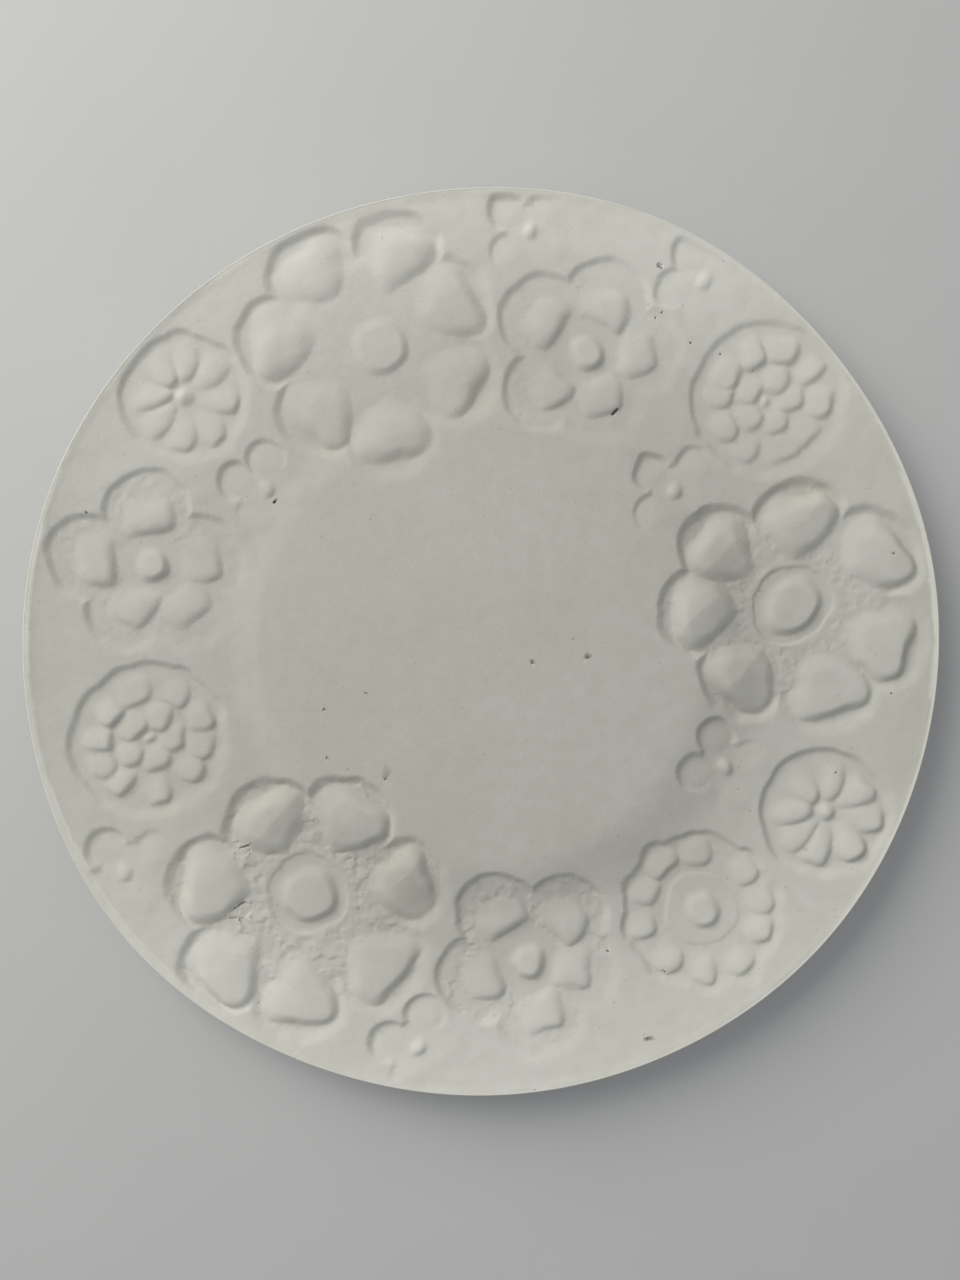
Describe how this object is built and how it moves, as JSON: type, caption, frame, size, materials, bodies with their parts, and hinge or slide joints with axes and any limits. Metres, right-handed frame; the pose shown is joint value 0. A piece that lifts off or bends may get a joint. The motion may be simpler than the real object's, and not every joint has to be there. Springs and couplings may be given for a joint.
{
  "type": "decorative wall plate",
  "caption": "Shallow round plate, matte off-white, with a plain flat centre and a wreath of moulded flowers in sunk relief round its wide rim; foot ring behind.",
  "frame": {"origin": "middle of the footprint, on the surface that the foot ring rests on", "axes": "+Z out of the decorated side, +Y towards the top of the plate as it hangs, +X to the right"},
  "size_m": [0.301, 0.2983, 0.0168],
  "materials": {
    "off_white_bisque": "matte, unglazed"
  },
  "bodies": {
    "root": {"plate": "off_white_bisque"}
  },
  "joints": []
}
